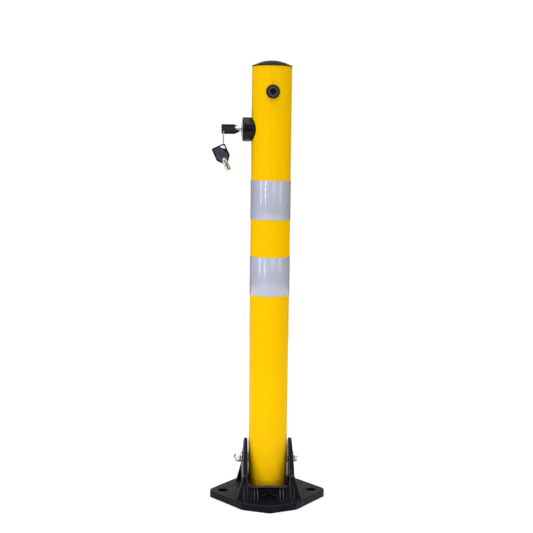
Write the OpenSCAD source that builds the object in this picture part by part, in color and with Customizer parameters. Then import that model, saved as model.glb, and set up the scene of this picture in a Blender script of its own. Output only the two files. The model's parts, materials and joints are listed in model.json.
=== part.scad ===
// Fold-down parking post with a key-operated floor latch.
// Millimetres. +Z up, origin on the ground under the post's axis, X along the hinge bolt,
// -Y is the side the post folds to, and the lock faces -X.

/* [Post] */
// Outside diameter of the steel tube
tube_od = 60; // [59:0.5:60]
// Wall of the tube
tube_wall = 2; // [1.5:0.1:2]
// Height of the tube's lower end above the ground
tube_foot = 23; // [22.5:0.5:23.5]
// Height of the tube's upper end above the ground
tube_top = 662.5; // [655:0.5:700]
// Rise of the cap's dome above its lip
dome_rise = 7.7; // [5:0.1:9]

/* [Reflective bands] */
// Height of the lower band's bottom edge
lower_band_z = 319.5; // [200:0.5:330]
// Height of the upper band's bottom edge
upper_band_z = 434.5; // [400:0.5:445]
// Height of each band
band_h = 59; // [40:1:60]
// Thickness of the tape
band_t = 0.35; // [0.2:0.05:0.5]

/* [Base] */
// Distance from the axis to each side tip of the plate
tip_x = 89.5; // [89.5:0.5:100]
// Distance from the axis to the front and rear apex of the plate
apex_y = 79.5; // [78:0.5:90]
// Thickness of the base plate
plate_t = 11; // [10.5:0.1:11]
// Distance between the two anchor holes
anchor_gap = 138; // [134:1:140]
// Radius of an anchor hole
anchor_r = 7; // [5:0.5:7]
// Height of the hinge bolt's axis
hinge_z = 62.5; // [62.5:0.5:63.5]
// Height of the ears
ear_top = 93.5; // [90:0.5:95]
// Thickness of an ear
ear_t = 8; // [7:0.5:8]
// Height of the front wall
wall_top = 29.5; // [26:0.5:29.5]

/* [Buffer] */
// Height of the buffer's centre
buffer_z = 624.5; // [600:0.5:630]
// How far the buffer stands out of the tube
buffer_out = 4; // [3.5:0.1:4]

/* [Lock] */
// Height of the lock's axis
lock_z = 569.5; // [550:0.5:580]
// Radius of the lock housing
housing_r = 18; // [16:0.5:18]
// Distance from the post's axis to the housing's outer face
housing_face = 43.5; // [43:0.1:44]
// Radius of the crank pin's circle
crank_r = 8.5; // [8:0.1:8.5]

/* [Latch] */
// Distance of the latch rod behind the post's axis
rod_y = 14.5; // [14.2:0.1:15]
// Radius of the latch bolt
bolt_r = 5; // [4.5:0.1:5]
// Height of the bolt's tip when it is unlocked
tip_rest = 16.5; // [16.3:0.1:16.7]

/* [Keys] */
// Width of a key's bow
bow_w = 21.5; // [21:0.1:22]
// Thickness of a key's bow
bow_t = 3; // [2.6:0.1:3]
// Turn of the inserted key's bow from upright
bow_turn = 55; // [54:1:56]
// Mean radius of the wire ring
ring_r = 11.25; // [11:0.05:11.4]
// Radius of the ring's wire
wire_r = 0.6; // [0.4:0.05:0.6]
// Tilt of the hanging key from plumb
spare_tilt = 24.7; // [20:0.1:25]

/* [Hidden] */
$fn = 96;

cast_black = [0.10, 0.10, 0.11];
paint_yellow = [1.00, 0.80, 0.02];
plastic_black = [0.08, 0.08, 0.09];
tape_grey = [0.74, 0.76, 0.84];
zinc = [0.78, 0.79, 0.80];
steel = [0.62, 0.63, 0.65];
brass_cast = [0.72, 0.70, 0.66];

tube_r = tube_od / 2;
bore_r = tube_r - tube_wall;
slip = 0.03;            // gap between pieces that are fixed together
run = 0.08;             // radial gap of a running fit
arc_steps = 6;          // straight pieces in each rounded corner

// Base
tip_round = 11;
corner_at = [33.4, 54.6];
corner_round = 12;
apex_round = 10;
spot_r = 11.5;
spot_deep = 0.6;
ear_in = 31.5;
ear_out = ear_in + ear_t;
ear_half = 42;
ear_front_foot = 62.5;
ear_waist_z = 40.5;
ear_round = 14;
boss_r = 10.5;
boss_out = ear_out + 0.5;
draft = 3.5;
gusset_t = 6;
front_gusset_x = 50.5;
rear_gusset_x = 49;
gusset_z = 44.5;
gusset_lean = 20;
wall_y = 38.5;
wall_t = 5;
rib_w = 2.4;
rib_at = [16, 20.8];
rib_out = 1.2;
rib_foot = 13;
skirt_x = 23;
skirt_foot = 9;
panel_x = 15;
panel_deep = 1.2;
arch_rise = 4.6;
arch_half = 15;
stop_y = tube_r + 0.8;
stop_x = 8;
bush_r = 9;

// Hinge
m8_r = 4;
m8_hex_r = 13 / sqrt(3);
washer_t = 1.2;
washer_r = 8;
seat_x = boss_out + washer_t;
head_t = 5.3;
nut_hex_t = 6.5;
nut_dome_r = 6;
nut_len = 12;
sleeve_r = 7;
spacer_r = 7.5;
spacer_t = 1.1;

// Cap
lip_r = tube_r + 0.4;
lip_t = 1.8;
dome_foot_r = tube_r - 1;
dome_r = (dome_foot_r * dome_foot_r + dome_rise * dome_rise) / (2 * dome_rise);
dome_steps = 10;
skirt_r = bore_r - 0.1;
skirt_t = 2.6;
skirt_h = 18;

// Buffer and its screw
m5_r = 2.5;
buffer_r = 10.2;
buffer_face_r = 7.5;
recess_r = 4.4;
recess_deep = 3;
buffer_face = tube_r + buffer_out;
pan_r = 4;
pan_t = 2;

// Lock, measured outward from the post's axis along -X
barrel_r = 9.5;
barrel_back = 14;
bezel_r = 11.5;
bezel_t = 1.2;
barrel_face = housing_face + bezel_t;
plug_r = 6.5;
plug_back = 13;
plug_face = barrel_face - 0.3;
keyway_deep = 9.4;
keyway_in = 2.6;
keyway_out = 4.05;
lock_hex_r = 13.8;
lock_nut_t = 5;
disc_in = 6;
disc_t = 3;
disc_r = 12;
square = 5.4;
pin_r = 2.5;
pin_reach = 2.4;
screw_r = 1.5;

// Latch
yoke_z = lock_z + crank_r / sqrt(2);
fork_half = 6.9;
slot_half = 2.9;
fork_in = 4.2;
fork_web = 11.8;
yoke_back = 19.5;
yoke_t = 4;
block_half = 5;
block_drop = 18;
rod_r = 3;
rod_top = yoke_z - 8.2;
socket_z = 39.5;
rod_foot = socket_z + 0.5;
bolt_top = 59.5;
roll_r = 1.25;
upper_roll_z = yoke_z - 13;
lower_roll_z = 49.5;
upper_guide_z = 501.5;
upper_guide_t = 4;
lower_guide_z = 27.5;
lower_guide_t = 8;

// Keys: l runs from the bow's tail to the shank's tip
bow_l = 26.4;
bow_round = 2.2;
shoulder_l = 20.6;
mouth_half = 5.6;
rim = 2;
face_deep = 0.5;
hole_w = 5.7;
hole_l = 6.4;
hole_side = 2;
hole_round = 0.6;
key_l = 39.5;
shank_r = 3.8;
shank_in = 2.8;
collar_r = 4.4;
shank_start = 20;
key_tail = 75.2;
ring_l = 3.0;
strip_w = bow_w / 2 - rim / 2;
ring_drop = ring_r - 2.75;
wire_inset = 1.3;

ring_x = -(key_tail - ring_l);
strip_y = -strip_w * sin(bow_turn);
strip_z = lock_z - strip_w * cos(bow_turn);
ring_z = strip_z - ring_drop;
spare_z = ring_z - ring_r;

// Angle of the outward normal where a straight side leaves circle a for circle b: [x, y, radius]
function side_angle(a, b) =
    atan2(b[1] - a[1], b[0] - a[0]) - acos((a[2] - b[2]) / norm([b[0] - a[0], b[1] - a[1]]));

// Outline of a convex shape with a round of its own at each corner, given anticlockwise
function rounded(c) = [
    for (i = [0:len(c) - 1])
        let (n = len(c), before = c[(i + n - 1) % n], here = c[i], after = c[(i + 1) % n])
        let (start = side_angle(before, here))
        let (sweep = (side_angle(here, after) - start + 720) % 360)
        for (k = [0:arc_steps])
            let (a = start + sweep * k / arc_steps)
            [here[0] + here[2] * cos(a), here[1] + here[2] * sin(a)]
];

// Lays a shape that was drawn up Z along +X, -X or -Y
module along_x() { rotate([0, 90, 0]) children(); }
module along_minus_x() { rotate([0, -90, 0]) children(); }
module along_minus_y() { rotate([90, 0, 0]) children(); }

module both_sides() {
    children();
    mirror([1, 0, 0]) children();
}

module ring(r_out, r_in, h) {
    difference() {
        cylinder(r = r_out, h = h);
        translate([0, 0, -1]) cylinder(r = r_in, h = h + 2);
    }
}

// A round bar along X at height z, used as the bolt's shank and to cut its holes
module cross_hole(r, from_x, to_x, z) {
    translate([from_x, 0, z]) along_x() cylinder(r = r, h = to_x - from_x);
}

// ---------- base ----------

plate_outline = rounded([
    [tip_x - tip_round, 0, tip_round],
    [corner_at[0], corner_at[1], corner_round],
    [0, apex_y - apex_round, apex_round],
    [-corner_at[0], corner_at[1], corner_round],
    [-(tip_x - tip_round), 0, tip_round],
    [-corner_at[0], -corner_at[1], corner_round],
    [0, -(apex_y - apex_round), apex_round],
    [corner_at[0], -corner_at[1], corner_round]
]);

ear_outline = rounded([
    [ear_half - 2, plate_t - 2, 2],
    [ear_half - 4, ear_waist_z, 4],
    [0, ear_top - ear_round, ear_round],
    [-(ear_half - 4), ear_waist_z, 4],
    [-(ear_front_foot - 2), plate_t - 2, 2]
]);

module ear() {
    difference() {
        translate([ear_in, 0, 0]) rotate([90, 0, 90]) linear_extrude(ear_t) polygon(ear_outline);
        translate([ear_out, -ear_half - 2, hinge_z - 6])
            rotate([0, -draft, 0]) cube([ear_t * 2, ear_half * 2 + 4, ear_top]);
    }
    translate([ear_in + 2, 0, hinge_z]) along_x() cylinder(r = boss_r, h = boss_out - ear_in - 2);
    gusset(ear_half, rear_gusset_x, 0);
    gusset(gusset_t - ear_half, front_gusset_x, -gusset_lean);
}

// Triangular web outside the ear: y is its rear face, foot_x its reach along the plate, and it
// leans forward about its top edge
module gusset(y, foot_x, lean) {
    drop = gusset_z / cos(lean) - 6;
    translate([0, y, gusset_z]) rotate([lean, 0, 0]) along_minus_y() linear_extrude(gusset_t)
        polygon([[ear_in + 1, -drop], [foot_x, -drop], [foot_x - 0.8, 6 - drop], [ear_out - 0.2, 0],
                 [ear_in + 1, 0]]);
}

// Upright web on the front wall from x to x + w, whose foot runs forward over the plate
module buttress(x, w, proud, foot) {
    front = wall_y + wall_t;
    translate([x + w, 0, 0]) rotate([90, 0, -90]) linear_extrude(w)
        polygon([[front - 1, plate_t - 1], [front + foot, plate_t - 1], [front + foot - 1, plate_t + 1.5],
                 [front + proud, wall_top - 4], [front + proud, wall_top - 1], [front - 1, wall_top - 1]]);
}

module front_wall() {
    arch_r = (arch_half * arch_half + arch_rise * arch_rise) / (2 * arch_rise);
    difference() {
        translate([-ear_in - 2, -wall_y - wall_t, plate_t - 1])
            cube([2 * ear_in + 4, wall_t, wall_top - plate_t + 1]);
        translate([-panel_x, -wall_y - wall_t - 1, plate_t + arch_rise])
            cube([2 * panel_x, panel_deep + 1, wall_top - plate_t - arch_rise - 2]);
        translate([0, -wall_y + 1, plate_t + arch_rise - arch_r])
            along_minus_y() cylinder(r = arch_r, h = wall_t + 2);
    }
    both_sides() {
        for (x = rib_at) buttress(x, rib_w, rib_out, rib_foot);
        buttress(skirt_x, ear_in + 1 - skirt_x, -0.5, skirt_foot);
    }
    translate([-stop_x, -wall_y - 1, plate_t - 1])
        cube([2 * stop_x, wall_y + 1 - stop_y, wall_top - plate_t - 1]);
}

module base_casting() {
    color(cast_black) difference() {
        union() {
            linear_extrude(plate_t) polygon(plate_outline);
            both_sides() ear();
            front_wall();
        }
        for (s = [-1, 1])
            translate([s * anchor_gap / 2, 0, 0]) {
                translate([0, 0, -1]) cylinder(r = anchor_r, h = plate_t + 2);
                translate([0, 0, plate_t - spot_deep]) cylinder(r = spot_r, h = 5);
            }
        translate([0, rod_y, -1]) cylinder(r = bush_r, h = plate_t + 2);
        cross_hole(m8_r + 0.1, -boss_out - 1, boss_out + 1, hinge_z);
    }
}

module keeper_bush() {
    color(steel) translate([0, rod_y, 0.5]) difference() {
        cylinder(r = bush_r - slip, h = plate_t - 0.5);
        translate([0, 0, -1]) cylinder(r = bolt_r + 0.6, h = plate_t + 2);
        translate([0, 0, plate_t - 2]) cylinder(r1 = bolt_r + 0.6, r2 = bolt_r + 2.1, h = 1.6);
    }
}

// ---------- hinge ----------

module hinge_bolt() {
    color(zinc) {
        cross_hole(m8_r, -seat_x - nut_len + 2.8, seat_x + 1, hinge_z);
        translate([seat_x, 0, hinge_z]) along_x() intersection() {
            cylinder(r = m8_hex_r, h = head_t, $fn = 6);
            cylinder(r1 = m8_hex_r + 3, r2 = 6.3, h = head_t);
        }
    }
}

module hinge_cap_nut() {
    color(zinc) translate([-seat_x, 0, hinge_z]) along_minus_x() difference() {
        union() {
            intersection() {
                cylinder(r = m8_hex_r, h = nut_hex_t, $fn = 6);
                cylinder(r1 = m8_hex_r + 2, r2 = 6.6, h = nut_hex_t);
            }
            translate([0, 0, nut_hex_t - 1]) cylinder(r = nut_dome_r, h = 1);
            intersection() {
                translate([0, 0, nut_len - nut_dome_r]) sphere(r = nut_dome_r);
                translate([0, 0, nut_hex_t - 0.5]) cylinder(r = nut_dome_r + 1, h = nut_len);
            }
        }
        translate([0, 0, -1]) cylinder(r = m8_r + slip, h = nut_len - 1.5);
    }
}

module hinge_washers() {
    color(zinc) both_sides() translate([boss_out, 0, hinge_z]) along_x()
        ring(washer_r, m8_r + 0.2, washer_t);
}

module hinge_spacers() {
    color(zinc) both_sides() translate([ear_in - spacer_t, 0, hinge_z]) along_x()
        ring(spacer_r, m8_r + 0.2, spacer_t);
}

module hinge_sleeve() {
    color(steel) translate([-tube_r, 0, hinge_z]) along_x() ring(sleeve_r, m8_r + run, tube_od);
}

// ---------- post ----------

module post_tube() {
    color(paint_yellow) difference() {
        translate([0, 0, tube_foot]) cylinder(r = tube_r, h = tube_top - tube_foot);
        translate([0, 0, tube_foot - 1]) cylinder(r = bore_r, h = tube_top - tube_foot + 2);
        cross_hole(sleeve_r + slip, -tube_r - 1, tube_r + 1, hinge_z);
        cross_hole(barrel_r + 0.15, -tube_r - 1, 0, lock_z);
        translate([0, 0, buffer_z]) along_minus_y() cylinder(r = m5_r + 0.2, h = tube_r + 1);
    }
}

function dome_point(i) =
    let (a = asin(dome_foot_r / dome_r) * i / dome_steps)
    [dome_r * sin(a), lip_t + dome_rise - dome_r * (1 - cos(a))];

module top_cap() {
    color(plastic_black) translate([0, 0, tube_top]) rotate_extrude() polygon(concat(
        [for (i = [0:dome_steps]) dome_point(i)],
        [[lip_r - 0.5, lip_t], [lip_r, lip_t - 0.5], [lip_r, 0.3], [lip_r - 0.3, 0], [skirt_r, 0],
         [skirt_r, 2 - skirt_h], [skirt_r - 1, -skirt_h], [skirt_r - skirt_t, -skirt_h],
         [skirt_r - skirt_t, 0], [skirt_r - 8, lip_t + 1], [0, lip_t + dome_rise - 3]]
    ));
}

module band(z) {
    color(tape_grey) translate([0, 0, z]) ring(tube_r + 0.02 + band_t, tube_r + 0.02, band_h);
}

module upper_band() { band(upper_band_z); }
module lower_band() { band(lower_band_z); }

module clear_of_tube(z) {
    difference() {
        children();
        translate([0, 0, z - 25]) cylinder(r = tube_r + slip, h = 50);
    }
}

module buffer() {
    color(plastic_black) clear_of_tube(buffer_z) translate([0, 0, buffer_z]) along_minus_y()
        rotate_extrude() polygon([
            [m5_r + 0.2, tube_r - 6], [buffer_r, tube_r - 6], [buffer_r, buffer_face - 2.9],
            [buffer_r - 0.5, buffer_face - 2.2], [buffer_face_r + 0.4, buffer_face - 0.2],
            [buffer_face_r - 0.3, buffer_face], [recess_r + 0.3, buffer_face],
            [recess_r, buffer_face - 0.3], [recess_r, buffer_face - recess_deep],
            [m5_r + 0.2, buffer_face - recess_deep]
        ]);
}

module buffer_screw() {
    head_at = buffer_face - recess_deep + slip;
    color(steel) translate([0, 0, buffer_z]) along_minus_y() difference() {
        union() {
            translate([0, 0, bore_r - 7]) cylinder(r = m5_r, h = head_at - bore_r + 8);
            translate([0, 0, head_at]) cylinder(r1 = pan_r, r2 = pan_r - 0.7, h = pan_t);
        }
        translate([0, 0, head_at + pan_t - 1.2]) cylinder(r = 1.6, h = 2, $fn = 6);
    }
}

module buffer_nut() {
    color(zinc) translate([0, 0, buffer_z]) along_minus_y() translate([0, 0, bore_r - 4.6])
        difference() {
            cylinder(r = 8 / sqrt(3), h = 4, $fn = 6);
            translate([0, 0, -1]) cylinder(r = m5_r + slip, h = 6);
        }
}

// ---------- lock ----------

module on_lock_axis() { translate([0, 0, lock_z]) along_minus_x() children(); }

module lock_housing() {
    color(plastic_black) clear_of_tube(lock_z) on_lock_axis() rotate_extrude() polygon([
        [barrel_r + 0.15, bore_r - 8], [housing_r, bore_r - 8], [housing_r, housing_face - 1],
        [housing_r - 0.3, housing_face - 0.3], [housing_r - 1, housing_face],
        [barrel_r + 0.15, housing_face]
    ]);
}

module lock_barrel() {
    color(zinc) on_lock_axis() rotate_extrude() polygon([
        [plug_r + run, barrel_back], [barrel_r, barrel_back], [barrel_r, housing_face + slip],
        [bezel_r, housing_face + slip], [bezel_r, barrel_face - 0.5], [bezel_r - 0.5, barrel_face],
        [plug_r + run + 0.4, barrel_face], [plug_r + run, barrel_face - 0.4]
    ]);
}

module lock_nut() {
    color(zinc) on_lock_axis() translate([0, 0, 24.1 - lock_nut_t]) difference() {
        cylinder(r = lock_hex_r, h = lock_nut_t, $fn = 6);
        translate([0, 0, -1]) cylinder(r = barrel_r + slip, h = lock_nut_t + 2);
    }
}

module lock_plug() {
    color(brass_cast) on_lock_axis() difference() {
        union() {
            translate([0, 0, plug_back]) cylinder(r = plug_r, h = plug_face - plug_back);
            translate([-square / 2, -square / 2, disc_in + 0.2])
                cube([square, square, plug_back - disc_in]);
        }
        translate([0, 0, plug_face - keyway_deep]) ring(keyway_out, keyway_in, keyway_deep + 1);
        translate([0, 0, disc_in - 1]) cylinder(r = screw_r + slip, h = 8);
    }
}

// Place of the crank pin at rest: up and back at 45 degrees, on the lock's axis frame
module at_crank_pin() {
    translate([0, crank_r / sqrt(2), lock_z + crank_r / sqrt(2)]) children();
}

module crank_disc() {
    color(steel) difference() {
        on_lock_axis() difference() {
            translate([0, 0, disc_in]) cylinder(r = disc_r, h = disc_t);
            translate([-square / 2 - slip, -square / 2 - slip, disc_in - 1])
                cube([square + 2 * slip, square + 2 * slip, disc_t + 2]);
        }
        at_crank_pin() translate([-disc_in - disc_t - 1, 0, 0]) along_x()
            cylinder(r = pin_r + slip, h = disc_t + 2);
    }
}

module crank_pin() {
    color(steel) at_crank_pin() translate([-disc_in - disc_t, 0, 0]) along_x()
        cylinder(r = pin_r, h = disc_in + disc_t + pin_reach);
}

module crank_screw() {
    color(zinc) on_lock_axis() difference() {
        union() {
            translate([0, 0, disc_in - 2.6]) cylinder(r1 = 2.9, r2 = 3.6, h = 2.6 - slip);
            translate([0, 0, disc_in - 0.5]) cylinder(r = screw_r, h = 7);
        }
        translate([0, 0, disc_in - 3]) cylinder(r = 1.3, h = 1.6, $fn = 6);
    }
}

// ---------- latch ----------

// Hole for a spring pin across the rod's axis at height z
module roll_hole(z) {
    translate([-block_half - 1, rod_y, z]) along_x()
        cylinder(r = roll_r + slip, h = 2 * block_half + 2);
}

module yoke() {
    color(steel) translate([0, 0, yoke_z]) difference() {
        union() {
            translate([-yoke_t / 2, fork_in, -fork_half])
                cube([yoke_t, yoke_back - fork_in, 2 * fork_half]);
            translate([-block_half, rod_y - block_half, -block_drop])
                cube([2 * block_half, 2 * block_half, block_drop - fork_half + 0.5]);
        }
        translate([-yoke_t, fork_in - 1, -slot_half])
            cube([2 * yoke_t, fork_web - fork_in + 1, 2 * slot_half]);
        translate([0, rod_y, -block_drop - 1])
            cylinder(r = rod_r + slip, h = block_drop + 1 - 8);
        roll_hole(upper_roll_z - yoke_z);
    }
}

module latch_rod() {
    color(steel) difference() {
        translate([0, rod_y, rod_foot]) cylinder(r = rod_r, h = rod_top - rod_foot);
        roll_hole(upper_roll_z);
        roll_hole(lower_roll_z);
    }
}

module latch_bolt() {
    color(steel) difference() {
        translate([0, rod_y, 0]) {
            translate([0, 0, tip_rest]) cylinder(r1 = bolt_r - 1.2, r2 = bolt_r, h = 1.5);
            translate([0, 0, tip_rest + 1.5]) cylinder(r = bolt_r, h = bolt_top - tip_rest - 1.5);
        }
        translate([0, rod_y, socket_z]) cylinder(r = rod_r + slip, h = bolt_top);
        roll_hole(lower_roll_z);
    }
}

module roll_pins() {
    color(zinc) {
        translate([-block_half, rod_y, upper_roll_z]) along_x()
            cylinder(r = roll_r, h = 2 * block_half);
        translate([-bolt_r + 0.4, rod_y, lower_roll_z]) along_x()
            cylinder(r = roll_r, h = 2 * bolt_r - 0.8);
    }
}

module guide(z, t, hole_r) {
    color(steel) translate([0, 0, z]) difference() {
        cylinder(r = bore_r - slip, h = t);
        translate([0, rod_y, -1]) cylinder(r = hole_r + run, h = t + 2);
    }
}

module upper_guide() { guide(upper_guide_z, upper_guide_t, rod_r); }
module lower_guide() { guide(lower_guide_z, lower_guide_t, bolt_r); }

// ---------- keys ----------

// Keys are drawn flat: width along X, length along +Y from the tail, thickness about Z = 0.
half_w = bow_w / 2;
bow_outline = rounded([
    [half_w - bow_round, bow_round, bow_round],
    [half_w - 2, shoulder_l - 2, 2],
    [mouth_half - 1, bow_l - 1, 1],
    [1 - mouth_half, bow_l - 1, 1],
    [2 - half_w, shoulder_l - 2, 2],
    [bow_round - half_w, bow_round, bow_round]
]);

face_outline = rounded([
    [half_w - rim - 3, shoulder_l - 5, 3],
    [mouth_half - 1, bow_l - 3, 1],
    [1 - mouth_half, bow_l - 3, 1],
    [rim + 3 - half_w, shoulder_l - 5, 3],
    [rim + 1 - half_w, rim + 1, 1],
    [half_w - rim - hole_w - 2, rim + 1, 1]
]);

ring_hole = rounded([
    [half_w - rim - hole_round, rim + hole_round, hole_round],
    [half_w - rim - hole_round, rim + hole_l - 2 * hole_round, hole_round],
    [half_w - rim - hole_w + hole_round, rim + hole_side - hole_round, hole_round],
    [half_w - rim - hole_w + hole_round, rim + hole_round, hole_round]
]);

module flat_bow() {
    color(plastic_black) difference() {
        translate([0, 0, -bow_t / 2]) linear_extrude(bow_t) polygon(bow_outline);
        translate([0, 0, -bow_t]) linear_extrude(2 * bow_t) polygon(ring_hole);
        for (z = [bow_t / 2 - face_deep, -bow_t / 2 + face_deep - 1])
            translate([0, 0, z]) linear_extrude(1) polygon(face_outline);
        translate([0, shank_start - slip, 0]) rotate([-90, 0, 0])
            cylinder(r = collar_r + slip, h = bow_l);
    }
}

module flat_shank() {
    color(zinc) rotate([-90, 0, 0]) rotate_extrude() polygon([
        [0, shank_start], [collar_r - 1, shank_start], [collar_r, shank_start + 1],
        [collar_r, bow_l], [shank_r, bow_l + 0.8], [shank_r, key_l - 0.3], [shank_r - 0.3, key_l],
        [shank_in, key_l], [shank_in, bow_l + 2], [0, bow_l + 1]
    ]);
}

// The key in the lock: length along +X, bow turned about the lock's axis
module in_lock() {
    translate([-key_tail, 0, lock_z]) rotate([-bow_turn, 0, 0]) rotate([90, 0, 0]) rotate([0, 0, -90])
        children();
}

// The hanging key: its ring hole's corner on the wire, tip down and towards the post
module on_ring() {
    translate([ring_x, strip_y, spare_z]) rotate([0, -spare_tilt, 0]) rotate([-90, 0, 0])
        translate([rim + wire_inset - half_w, -rim - wire_inset, 0]) children();
}

module key_shank() { in_lock() flat_shank(); }
module key_bow() { in_lock() flat_bow(); }
module spare_key_shank() { on_ring() flat_shank(); }
module spare_key_bow() { on_ring() flat_bow(); }

module key_ring() {
    color(zinc) translate([ring_x, strip_y, ring_z]) along_x()
        rotate_extrude() translate([ring_r, 0]) circle(r = wire_r, $fn = 24);
}

base_casting();
keeper_bush();
hinge_bolt();
hinge_cap_nut();
hinge_washers();
hinge_spacers();
post_tube();
hinge_sleeve();
top_cap();
upper_band();
lower_band();
buffer();
buffer_screw();
buffer_nut();
lock_housing();
lock_barrel();
lock_nut();
upper_guide();
lower_guide();
lock_plug();
crank_disc();
crank_pin();
crank_screw();
yoke();
latch_rod();
latch_bolt();
roll_pins();
key_shank();
key_bow();
key_ring();
spare_key_shank();
spare_key_bow();
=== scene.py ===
import json
import math

import bmesh
import bpy
from mathutils import Matrix, Vector


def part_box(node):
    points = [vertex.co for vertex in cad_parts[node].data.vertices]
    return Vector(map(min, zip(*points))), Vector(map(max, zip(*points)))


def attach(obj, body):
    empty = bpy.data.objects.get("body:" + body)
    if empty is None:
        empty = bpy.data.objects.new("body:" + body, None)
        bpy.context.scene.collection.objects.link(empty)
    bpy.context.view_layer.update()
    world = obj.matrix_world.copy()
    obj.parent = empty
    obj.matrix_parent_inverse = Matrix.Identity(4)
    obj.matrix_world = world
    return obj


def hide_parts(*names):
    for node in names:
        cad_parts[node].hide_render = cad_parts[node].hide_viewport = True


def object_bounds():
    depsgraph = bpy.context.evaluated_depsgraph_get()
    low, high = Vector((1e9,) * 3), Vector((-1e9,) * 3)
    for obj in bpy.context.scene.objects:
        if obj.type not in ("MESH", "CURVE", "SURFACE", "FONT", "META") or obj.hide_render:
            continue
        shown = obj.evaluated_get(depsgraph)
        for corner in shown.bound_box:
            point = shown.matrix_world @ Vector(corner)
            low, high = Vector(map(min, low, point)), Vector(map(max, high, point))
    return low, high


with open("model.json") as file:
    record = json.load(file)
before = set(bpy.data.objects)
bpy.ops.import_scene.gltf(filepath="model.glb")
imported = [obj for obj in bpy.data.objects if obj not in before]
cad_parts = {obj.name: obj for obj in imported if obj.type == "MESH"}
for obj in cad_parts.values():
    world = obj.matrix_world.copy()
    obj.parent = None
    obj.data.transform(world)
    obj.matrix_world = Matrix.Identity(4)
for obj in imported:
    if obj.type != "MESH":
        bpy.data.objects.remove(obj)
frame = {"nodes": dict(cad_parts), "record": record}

# Fold-down parking post. Metres, +Z up, the post folds towards -Y and the lock faces -X.
MM = 0.001
CAD_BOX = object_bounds()
RECORD = frame["record"]
NODES = frame["nodes"]
BODY_OF = {n: body for body, group in RECORD["behaviour"]["bodies"].items() for n in group}
SLOT_OF = {row["node"]: row["material_slot"] for row in RECORD["subparts"]}


# ---------------------------------------------------------------- camera

CAMERA_DISTANCE = 1.5624
CAMERA_HEIGHT = 0.5433
CAMERA_AZIMUTH = math.radians(-3.22)
CAMERA_PITCH = math.radians(6.62)
CAMERA_ROLL = math.radians(0.674)
CAMERA_SIDE = -0.005
CAMERA_LENS = 69.5
CAMERA_SENSOR = 36


def make_camera():
    """Stands a little to the lock's side, above the post's middle, looking slightly down."""
    flat = Vector((-math.sin(CAMERA_AZIMUTH), math.cos(CAMERA_AZIMUTH), 0))
    side = Vector((math.cos(CAMERA_AZIMUTH), math.sin(CAMERA_AZIMUTH), 0))
    ahead = flat * math.cos(CAMERA_PITCH) - Vector((0, 0, math.sin(CAMERA_PITCH)))
    over = side.cross(ahead)
    right = side * math.cos(CAMERA_ROLL) + over * math.sin(CAMERA_ROLL)
    top = over * math.cos(CAMERA_ROLL) - side * math.sin(CAMERA_ROLL)
    place = side * CAMERA_SIDE - flat * CAMERA_DISTANCE + Vector((0, 0, CAMERA_HEIGHT))
    data = bpy.data.cameras.new("camera")
    data.sensor_width = CAMERA_SENSOR
    data.lens = CAMERA_LENS
    camera = bpy.data.objects.new("camera", data)
    camera.matrix_world = Matrix.Translation(place) @ Matrix((right, top, -ahead)).transposed().to_4x4()
    bpy.context.scene.collection.objects.link(camera)
    bpy.context.scene.camera = camera


# ---------------------------------------------------------------- materials
# Noise and cell scales are in cycles per metre, and colours are linear.

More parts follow.
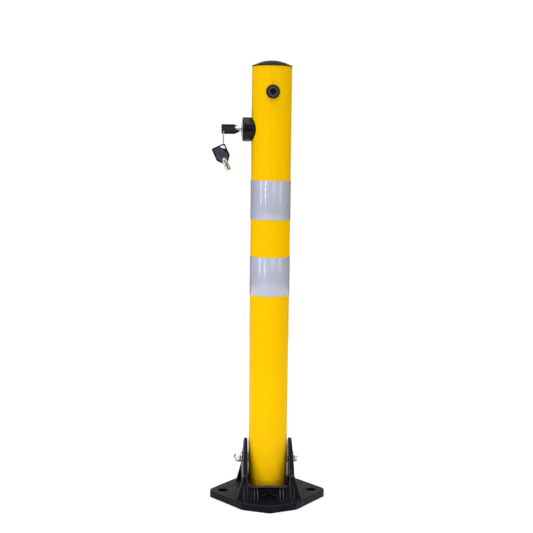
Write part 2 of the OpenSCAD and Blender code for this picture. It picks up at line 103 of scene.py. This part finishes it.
class Paint:
    """A procedural material under construction: a Principled shader and short calls for its nodes."""

    def __init__(self, name, **sockets):
        self.material = bpy.data.materials.new(name)
        self.material.use_nodes = True
        self.tree = self.material.node_tree
        self.shader = self.tree.nodes["Principled BSDF"]
        self.place = self.tree.nodes.new("ShaderNodeTexCoord").outputs["Object"]
        self.relief = None
        for socket, value in sockets.items():
            self.shader.inputs[socket.replace("_", " ")].default_value = value

    def node(self, kind, inputs=(), **settings):
        """Adds a node; an input given as a socket is linked, and any other is set."""
        made = self.tree.nodes.new(kind)
        for key, value in settings.items():
            setattr(made, key, value)
        for key, value in dict(inputs).items():
            if isinstance(value, bpy.types.NodeSocket):
                self.tree.links.new(value, made.inputs[key])
            else:
                made.inputs[key].default_value = value
        return made

    def noise(self, scale, detail=3.0, roughness=0.55, stretch=(1, 1, 1)):
        """Cloudy noise from 0 to 1; a stretch under 1 draws it out along that axis."""
        where = self.node("ShaderNodeMapping", {"Vector": self.place, "Scale": stretch}).outputs[0]
        return self.node("ShaderNodeTexNoise", {
            "Vector": where, "Scale": scale, "Detail": detail, "Roughness": roughness}).outputs[0]

    def cells(self, scale, feature="F1"):
        """Distance to the nearest cell centre, or to the nearest cell wall."""
        inputs = {"Vector": self.place, "Scale": scale}
        return self.node("ShaderNodeTexVoronoi", inputs, feature=feature).outputs[0]

    def fit(self, value, low, high, out_low=0.0, out_high=1.0):
        """Maps low..high to out_low..out_high and holds the ends."""
        return self.node("ShaderNodeMapRange", {
            "Value": value, "From Min": low, "From Max": high,
            "To Min": out_low, "To Max": out_high}, clamp=True).outputs[0]

    def math(self, operation, first, second=0.0):
        """Joins two numbers by a named operation."""
        return self.node("ShaderNodeMath", {0: first, 1: second}, operation=operation).outputs[0]

    def mix(self, factor, first, second):
        """Blends two colours; the node's colour sockets come after its number and vector ones."""
        made = self.tree.nodes.new("ShaderNodeMix")
        made.data_type = "RGBA"
        for key, value in ((0, factor), (6, first), (7, second)):
            if isinstance(value, bpy.types.NodeSocket):
                self.tree.links.new(value, made.inputs[key])
            else:
                made.inputs[key].default_value = value if key == 0 else (*value, 1)
        return made.outputs[2]

    def along(self, axis):
        """Place along one of the frame's axes, in metres."""
        return self.node("ShaderNodeSeparateXYZ", {0: self.place}).outputs[axis]

    def corners(self, low, high):
        """1 on outward edges of a finely meshed piece, 0 elsewhere."""
        pointed = self.node("ShaderNodeNewGeometry").outputs["Pointiness"]
        return self.fit(pointed, low, high)

    def colour(self, socket):
        self.tree.links.new(socket, self.shader.inputs["Base Color"])

    def roughness(self, socket):
        self.tree.links.new(socket, self.shader.inputs["Roughness"])

    def bump(self, height, distance, strength=1.0):
        """Adds a relief of the given depth in metres on top of the reliefs before it."""
        inputs = {"Height": height, "Distance": distance, "Strength": strength}
        if self.relief is not None:
            inputs["Normal"] = self.relief
        self.relief = self.node("ShaderNodeBump", inputs).outputs[0]
        self.tree.links.new(self.relief, self.shader.inputs["Normal"])


def yellow_paint():
    """Satin enamel: faint mottle, fine flecks, dust near the ground and a few upright scuffs."""
    p = Paint("yellow_paint", Roughness=0.45, Specular_IOR_Level=0.025)
    mottle = p.fit(p.noise(9, 4), 0.35, 0.65)
    base = p.mix(mottle, (0.95, 0.555, 0.0), (0.94, 0.53, 0.0))
    fleck = p.fit(p.noise(2600, 2), 0.66, 0.76)
    base = p.mix(p.math("MULTIPLY", fleck, 0.25), base, (0.72, 0.36, 0.0))
    foot = p.fit(p.along("Z"), 130 * MM, 20 * MM)
    dust = p.math("MULTIPLY", foot, p.fit(p.noise(60, 5, 0.7), 0.42, 0.75, 0.0, 0.4))
    base = p.mix(dust, base, (0.62, 0.34, 0.03))
    scuff = p.fit(p.noise(130, 6, 0.75, (1, 1, 0.12)), 0.70, 0.76, 0.0, 0.3)
    p.colour(p.mix(scuff, base, (0.80, 0.52, 0.14)))
    gloss = p.fit(p.noise(35, 4), 0.3, 0.7, 0.38, 0.50)
    p.roughness(p.math("ADD", gloss, p.math("MULTIPLY", scuff, 0.4)))
    p.bump(p.noise(420, 2, 0.4), 0.06 * MM)
    p.bump(p.noise(2200, 2), 0.01 * MM)
    return p.material


def cast_black():
    """Black coat over a sand casting: edges lighter from wear plus a painted edge highlight; upward
    faces lighter from dust plus a painted sheen, with painted shade towards the front.
    """
    p = Paint("cast_black", Roughness=0.36, Specular_IOR_Level=0.08)
    coat = p.fit(p.noise(45, 5, 0.6), 0.35, 0.65)
    tone = p.mix(coat, (0.0020, 0.0020, 0.0034), (0.0050, 0.0048, 0.0070))
    normal = p.node("ShaderNodeNewGeometry").outputs["Normal"]
    upward = p.node("ShaderNodeSeparateXYZ", {0: normal}).outputs["Z"]
    # Upward faces: dust plus a painted sheen, faded out towards the front as painted shade
    front_shade_fade = p.fit(p.along("Y"), -45 * MM, -10 * MM, 0.08, 1.0)
    flat = p.math("MULTIPLY", p.fit(upward, 0.75, 0.98), front_shade_fade)
    top_dust_and_sheen = p.math("MULTIPLY", flat, p.fit(p.noise(190, 6, 0.75), 0.40, 0.62, 0.0, 0.9))
    tone = p.mix(top_dust_and_sheen, tone, (0.040, 0.034, 0.030))
    dust = p.fit(p.noise(140, 6, 0.7), 0.60, 0.74, 0.0, 0.3)
    tone = p.mix(dust, tone, (0.022, 0.020, 0.022))
    # Outward edges lighter and bluish: partly wear, partly a painted edge highlight; weaker near the
    # plate
    above_plate = p.fit(p.along("Z"), 12 * MM, 20 * MM, 0.25, 1.0)
    lightened = p.math("MULTIPLY", p.corners(0.515, 0.555), above_plate)
    tone = p.mix(lightened, tone, (0.090, 0.088, 0.108))
    p.colour(tone)
    p.roughness(p.fit(p.noise(220, 4), 0.3, 0.7, 0.26, 0.44))
    p.bump(p.noise(420, 5, 0.62), 0.30 * MM, 0.8)
    p.bump(p.cells(1300), 0.10 * MM, 0.6)
    return p.material


def moulded_black():
    """Shiny black plastic with a fine grain and specks of dust."""
    p = Paint("moulded_black", Roughness=0.26, Specular_IOR_Level=0.16)
    tint = p.fit(p.noise(60, 4), 0.35, 0.65)
    tone = p.mix(tint, (0.0030, 0.0028, 0.0040), (0.0065, 0.0060, 0.0075))
    dust = p.fit(p.noise(500, 5, 0.7), 0.6, 0.74, 0.0, 0.4)
    p.colour(p.mix(dust, tone, (0.030, 0.027, 0.030)))
    p.roughness(p.fit(p.noise(300, 4), 0.3, 0.7, 0.20, 0.30))
    p.bump(p.cells(3000), 0.04 * MM, 0.7)
    p.bump(p.noise(800, 3), 0.03 * MM)
    return p.material


def black_rubber():
    """Moulded rubber, rubbed grey on the foremost face, where it meets the ground."""
    p = Paint("black_rubber", Roughness=0.5, Specular_IOR_Level=0.10)
    tint = p.fit(p.noise(200, 4), 0.35, 0.65)
    tone = p.mix(tint, (0.0040, 0.0032, 0.0038), (0.0100, 0.0085, 0.0095))
    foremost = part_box("buffer")[0].y
    rubbed = p.fit(p.along("Y"), foremost + 0.5 * MM, foremost + 0.15 * MM)
    lightened = p.math("MULTIPLY", rubbed, p.fit(p.noise(320, 5, 0.6), 0.3, 0.62, 0.45, 1.0))
    p.colour(p.mix(lightened, tone, (0.070, 0.062, 0.062)))
    p.roughness(p.fit(p.noise(420, 4), 0.3, 0.7, 0.40, 0.6))
    p.bump(p.cells(2200), 0.05 * MM, 0.7)
    return p.material


def bow_plastic(name, dark, light, grain, shine):
    """Moulded key bow with an even sprinkling of lighter grain; shine is its specular level."""
    p = Paint(name, Roughness=0.42, Specular_IOR_Level=shine)
    tone = p.mix(p.fit(p.noise(160, 5), 0.35, 0.65), dark, light)
    p.colour(p.mix(p.fit(p.noise(1100, 4, 0.7), 0.52, 0.72, 0.0, 0.7), tone, grain))
    p.roughness(p.fit(p.noise(500, 3), 0.3, 0.7, 0.34, 0.5))
    p.bump(p.cells(3500), 0.04 * MM, 0.8)
    return p.material


def reflective_tape():
    """Retroreflective sheeting: small sealed cells under a clear, slightly wavy film."""
    p = Paint("reflective_tape", Roughness=0.42, Metallic=0.15,
              Coat_Weight=1.0, Coat_Roughness=0.05)
    tint = p.fit(p.noise(26, 4), 0.35, 0.65)
    tone = p.mix(tint, (0.455, 0.475, 0.56), (0.505, 0.525, 0.61))
    walls = p.fit(p.cells(420, "DISTANCE_TO_EDGE"), 0.0, 0.10, 1.0, 0.0)
    tone = p.mix(p.math("MULTIPLY", walls, 0.3), tone, (0.56, 0.57, 0.68))
    grit = p.fit(p.noise(1500, 4, 0.7), 0.60, 0.78, 0.0, 0.4)
    p.colour(p.mix(grit, tone, (0.33, 0.34, 0.44)))
    p.roughness(p.fit(p.noise(300, 3), 0.3, 0.7, 0.36, 0.5))
    p.bump(walls, 0.02 * MM)
    swell = p.noise(22, 3, 0.5, (1, 1, 0.5))
    wave = p.node("ShaderNodeBump", {"Height": swell, "Distance": 1.8 * MM})
    p.tree.links.new(wave.outputs[0], p.shader.inputs["Coat Normal"])
    return p.material


def plated(name, colour, dull, roughness):
    """Plated or bare steel: a fine uneven surface and a little duller tarnish in patches."""
    p = Paint(name, Metallic=1.0, Roughness=roughness)
    tarnish = p.fit(p.noise(90, 5, 0.65), 0.45, 0.75)
    p.colour(p.mix(tarnish, colour, dull))
    p.roughness(p.fit(p.noise(700, 4, 0.6), 0.3, 0.7, roughness * 0.7, roughness * 1.4))
    p.bump(p.noise(1800, 3, 0.6), 0.02 * MM)
    p.bump(p.noise(300, 3), 0.03 * MM)
    return p.material


def black_oxide():
    """Blackened steel with a bluish, slightly patchy film."""
    p = Paint("black_oxide", Metallic=0.2, Roughness=0.4, Specular_IOR_Level=0.15)
    film = p.fit(p.noise(400, 4), 0.35, 0.7)
    p.colour(p.mix(film, (0.002, 0.003, 0.008), (0.010, 0.011, 0.018)))
    p.roughness(p.fit(p.noise(900, 3), 0.3, 0.7, 0.3, 0.5))
    p.bump(p.noise(2000, 3), 0.02 * MM)
    return p.material


def make_materials():
    """One material for each slot of the record, and the ring wire's and the bows' own."""
    return {
        "casting": cast_black(),
        "steel": plated("turned_steel", (0.46, 0.46, 0.47), (0.24, 0.22, 0.20), 0.34),
        "zinc": plated("zinc_plate", (0.58, 0.59, 0.62), (0.30, 0.29, 0.28), 0.2),
        "chrome": plated("nickel_plate", (0.62, 0.58, 0.57), (0.34, 0.30, 0.27), 0.16),
        "ring_wire": plated("ring_wire", (0.34, 0.34, 0.36), (0.20, 0.19, 0.19), 0.25),
        "black_steel": black_oxide(),
        "yellow_paint": yellow_paint(),
        "black_plastic": moulded_black(),
        "rubber": black_rubber(),
        "reflective_tape": reflective_tape(),
        # Dark rim material, also used as painted shade on the inserted bow's faces
        "bow_rim_and_shaded_face": bow_plastic("bow_rim_and_shaded_face", (0.002, 0.002, 0.003), (0.005, 0.005, 0.006),
                               grain=(0.014, 0.013, 0.016), shine=0.06),
        "bow_face": bow_plastic("bow_face", (0.030, 0.029, 0.046), (0.056, 0.053, 0.080),
                                grain=(0.130, 0.122, 0.165), shine=0.2),
    }


# ---------------------------------------------------------------- pieces

WELD = 0.002 * MM
SAME_PLANE = math.radians(0.2)
CREASE = math.radians(40)
EDGE_TO_ROUND = math.radians(28)
ROUND_SEGMENTS = 2
BOW_ROUND = 0.2 * MM
RIM_PROUD = 0.2 * MM
PARALLEL = 0.999
CAST_VOXEL = 0.9 * MM
CAST_ROUNDS = 4
CAST_GROUND_EDGE = 3 * MM

# How far each piece's edges are rounded over, in millimetres
EDGE_ROUND = {
    "keeper_bush": 0.3, "hinge_bolt": 0.35, "hinge_cap_nut": 0.3, "hinge_washers": 0.2,
    "hinge_spacers": 0.2, "post_tube": 0.5, "hinge_sleeve": 0.3, "top_cap": 0.25,
    "upper_band": 0.1, "lower_band": 0.1, "buffer": 0.3, "buffer_screw": 0.25,
    "lock_housing": 0.3, "lock_barrel": 0.2, "lock_plug": 0.15, "latch_bolt": 0.3,
    "lower_guide": 0.4, "key_shank": 0.15, "spare_key_shank": 0.15,
}

# CAD nodes shown as they are: those hidden inside the tube
HIDDEN_INSIDE = ("buffer_nut", "lock_nut", "upper_guide", "crank_disc", "crank_pin", "crank_screw",
                 "yoke", "latch_rod", "roll_pins")


def finish_mesh(bm, name, material):
    """Turns a bmesh into a smooth-shaded object whose creases stay crisp."""
    bmesh.ops.recalc_face_normals(bm, faces=bm.faces)
    for face in bm.faces:
        face.smooth = True
    for edge in bm.edges:
        edge.smooth = len(edge.link_faces) != 2 or edge.calc_face_angle() < CREASE
    mesh = bpy.data.meshes.new(name)
    bm.to_mesh(mesh)
    bm.free()
    mesh.materials.append(material)
    piece = bpy.data.objects.new(name, mesh)
    bpy.context.scene.collection.objects.link(piece)
    return piece


def stands_for(piece, node):
    """The piece takes the CAD node's place and body."""
    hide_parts(node)
    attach(piece, BODY_OF[node])


def welded(node):
    """A welded bmesh copy of a CAD node's surface, with its flat faces whole again."""
    bm = bmesh.new()
    bm.from_mesh(NODES[node].data)
    bmesh.ops.remove_doubles(bm, verts=bm.verts, dist=WELD)
    bmesh.ops.dissolve_limit(bm, angle_limit=SAME_PLANE, verts=bm.verts, edges=bm.edges)
    return bm


def softened(node, material, width):
    """The CAD node's shape with its edges rounded over."""
    bm = welded(node)
    edges = [e for e in bm.edges
             if len(e.link_faces) == 2 and e.calc_face_angle() > EDGE_TO_ROUND]
    bmesh.ops.bevel(bm, geom=edges, offset=width, segments=ROUND_SEGMENTS, profile=0.5,
                    affect="EDGES", clamp_overlap=True)
    piece = finish_mesh(bm, node + "_piece", material)
    stands_for(piece, node)
    return piece


def applied(piece):
    """Bakes the piece's modifiers into its mesh."""
    graph = bpy.context.evaluated_depsgraph_get()
    mesh = bpy.data.meshes.new_from_object(piece.evaluated_get(graph))
    piece.modifiers.clear()
    piece.data = mesh


def cast_piece(node, name, material):
    """The CAD node's shape as a sand casting: soft fillets everywhere above its ground edge."""
    piece = finish_mesh(welded(node), name, material)
    remesh = piece.modifiers.new("remesh", "REMESH")
    remesh.mode = "VOXEL"
    remesh.voxel_size = CAST_VOXEL
    applied(piece)
    bm = bmesh.new()
    bm.from_mesh(piece.data)
    for v in bm.verts:
        v.co.z = max(v.co.z, CAD_BOX[0].z)
    above = [v for v in bm.verts if v.co.z > CAST_GROUND_EDGE]
    for _ in range(CAST_ROUNDS):
        bmesh.ops.smooth_vert(bm, verts=above, factor=0.5,
                              use_axis_x=True, use_axis_y=True, use_axis_z=True)
    for face in bm.faces:
        face.smooth = True
    bm.to_mesh(piece.data)
    bm.free()
    stands_for(piece, node)


def key_bow(node, face_material):
    """A bow with a black rim and two sunk faces, found as the flats that lie below the rim."""
    bow = softened(node, MATERIALS["bow_rim_and_shaded_face"], BOW_ROUND)
    bow.data.materials.append(face_material)
    through = max(bow.data.polygons, key=lambda face: face.area).normal.copy()
    flats = [face for face in bow.data.polygons if abs(face.normal.dot(through)) > PARALLEL]
    depth = [face.center.dot(through) for face in flats]
    middle, half = (max(depth) + min(depth)) / 2, (max(depth) - min(depth)) / 2
    for face, d in zip(flats, depth):
        if abs(d - middle) < half - RIM_PROUD:
            face.material_index = 1


def painted(node, material):
    """The CAD node itself, shown as it is in the given material."""
    NODES[node].data.materials.clear()
    NODES[node].data.materials.append(material)


# ---------------------------------------------------------------- stage

FLOOR_RADIUS = 1.3
AIM = Vector((0, 0, 0.36))
SUN_POWER = 2.9
SUN_SPREAD = math.radians(70)
SUN_HEADING = Vector((0.05, 0.10, -1))
WORLD_LOW = 0.08
WORLD_HIGH = 0.40
WORLD_SEEN = 1.0
COOL = (0.84, 0.87, 1.0)
WHITE = (1, 1, 1)
WARM = (1, 0.98, 0.95)
AMBER = (1, 0.95, 0.88)


def make_stage():
    """A plain white disc under the base."""
    p = Paint("floor", Roughness=0.8, Specular_IOR_Level=0.0)
    p.colour(p.mix(p.fit(p.noise(3, 4), 0.3, 0.7), (0.91, 0.91, 0.91), (0.93, 0.93, 0.93)))
    p.bump(p.noise(300, 4), 0.1 * MM, 0.2)
    bm = bmesh.new()
    bmesh.ops.create_circle(bm, cap_ends=True, segments=96, radius=FLOOR_RADIUS)
    floor = finish_mesh(bm, "floor", p.material)
    floor.location.z = CAD_BOX[0].z


def area_light(name, turn, height, distance, size, power, colour):
    """A softbox aimed at the post's middle; turn is its angle from the front towards the lock."""
    data = bpy.data.lights.new(name, "AREA")
    data.shape = "RECTANGLE"
    data.size, data.size_y = size
    data.energy = power
    data.color = colour
    lamp = bpy.data.objects.new(name, data)
    a = math.radians(turn)
    lamp.location = (-distance * math.sin(a), -distance * math.cos(a), height)
    lamp.rotation_euler = (AIM - lamp.location).to_track_quat("-Z", "Y").to_euler()
    bpy.context.scene.collection.objects.link(lamp)


def make_light():
    """Broad light from above, three softboxes, and two tall strips on the lock's side."""
    sun = bpy.data.lights.new("sun", "SUN")
    sun.energy = SUN_POWER
    sun.angle = SUN_SPREAD
    lamp = bpy.data.objects.new("sun", sun)
    lamp.rotation_euler = SUN_HEADING.to_track_quat("-Z", "Y").to_euler()
    bpy.context.scene.collection.objects.link(lamp)
    for name, turn in (("strip_outer", 62), ("strip_inner", 32)):
        area_light(name, turn, height=0.80, distance=1.5, size=(0.10, 1.2), power=4.8, colour=COOL)
    area_light("front", -15, height=0.95, distance=2.0, size=(1.0, 0.9), power=3.5, colour=WHITE)
    area_light("rear", 180, height=1.1, distance=1.8, size=(1.2, 0.5), power=3, colour=AMBER)
    area_light("right", -58, height=0.90, distance=1.8, size=(0.5, 1.2), power=4, colour=WARM)


def make_world():
    """A white backdrop for the camera; every other ray sees it dim, and dimmer near the horizon."""
    world = bpy.data.worlds.new("world")
    bpy.context.scene.world = world
    world.use_nodes = True
    tree = world.node_tree
    height = tree.nodes.new("ShaderNodeSeparateXYZ")
    tree.links.new(tree.nodes.new("ShaderNodeTexCoord").outputs["Generated"], height.inputs[0])
    dim = tree.nodes.new("ShaderNodeMapRange")
    dim.inputs["To Min"].default_value = WORLD_LOW
    dim.inputs["To Max"].default_value = WORLD_HIGH
    tree.links.new(height.outputs["Z"], dim.inputs["Value"])
    seen = tree.nodes.new("ShaderNodeMix")
    tree.links.new(tree.nodes.new("ShaderNodeLightPath").outputs["Is Camera Ray"], seen.inputs[0])
    tree.links.new(dim.outputs[0], seen.inputs[2])
    seen.inputs[3].default_value = WORLD_SEEN
    tree.nodes["Background"].inputs["Color"].default_value = (1, 1, 1, 1)
    tree.links.new(seen.outputs[0], tree.nodes["Background"].inputs["Strength"])


# ---------------------------------------------------------------- assembly

make_camera()
MATERIALS = make_materials()

cast_piece("base_casting", "cast_base", MATERIALS["casting"])
for node, width in EDGE_ROUND.items():
    softened(node, MATERIALS[SLOT_OF[node]], width * MM)
# The inserted bow's sunk faces take the dark rim material: painted shade on the same plastic as the
# spare bow's faces
key_bow("key_bow", MATERIALS["bow_rim_and_shaded_face"])
key_bow("spare_key_bow", MATERIALS["bow_face"])

painted("key_ring", MATERIALS["ring_wire"])
for node in HIDDEN_INSIDE:
    painted(node, MATERIALS[SLOT_OF[node]])

make_stage()
make_light()
make_world()
bpy.context.scene.view_settings.view_transform = "Standard"
